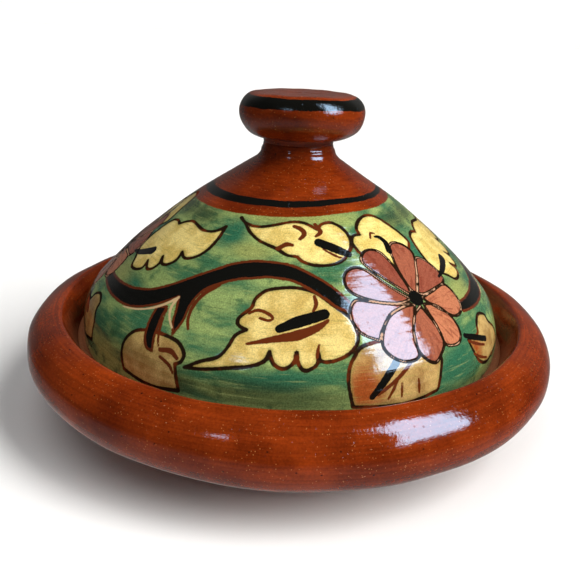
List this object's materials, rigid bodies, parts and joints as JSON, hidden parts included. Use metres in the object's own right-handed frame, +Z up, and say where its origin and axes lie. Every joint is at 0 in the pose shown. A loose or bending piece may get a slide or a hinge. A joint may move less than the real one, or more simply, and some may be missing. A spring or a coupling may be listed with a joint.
{
  "type": "tagine pot",
  "caption": "Small glazed earthenware tagine: a thick-rimmed open dish and a painted domed cone lid with a round knob, which lifts off.",
  "frame": {"origin": "centre of the dish's foot, on the surface it stands on", "axes": "+Z up along the potter's wheel axis that the dish and lid share; -Y is the side with the painted flower seen from the front"},
  "size_m": [0.23, 0.23, 0.1333],
  "materials": {
    "glazed_terracotta": "clear glossy glaze over red terracotta",
    "painted_glaze": "hand-painted green and yellow under a clear glossy glaze",
    "banded_terracotta": "clear glossy glaze over red terracotta with one painted black band"
  },
  "bodies": {
    "dish": {"base_dish": "glazed_terracotta"},
    "lid": {"lid_cone": "painted_glaze", "lid_knob": "banded_terracotta"}
  },
  "joints": [
    {"name": "lid_lift", "type": "slide", "parent": "dish", "child": "lid", "axis": [0, 0, 1], "range_m": [0, 0.12]}
  ]
}
